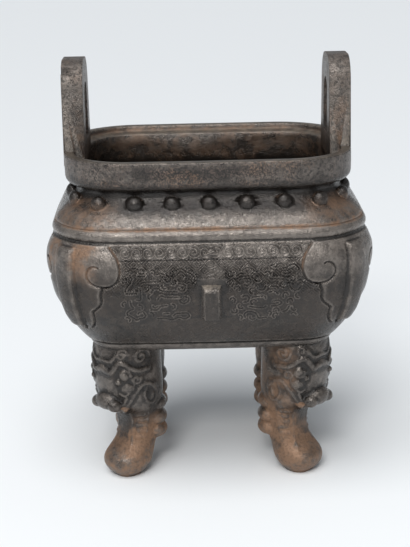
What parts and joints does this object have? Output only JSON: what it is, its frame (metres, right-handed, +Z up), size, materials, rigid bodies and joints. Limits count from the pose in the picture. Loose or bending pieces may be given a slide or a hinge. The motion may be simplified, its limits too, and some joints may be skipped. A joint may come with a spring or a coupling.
{
  "type": "bronze censer",
  "caption": "Rectangular bronze incense burner with a bulging rounded body, beaded neck, upright loop handles and lion-mask legs, hollow and open at the top.",
  "frame": {"origin": "on the ground, under the middle of the vessel", "axes": "+Z up, X along the vessel's length between the handles, front towards -Y"},
  "size_m": [0.202, 0.1688, 0.269],
  "materials": {
    "bronze": "dark brown patina, dusty in the hollows"
  },
  "bodies": {
    "root": {"censer": "bronze"}
  },
  "joints": []
}
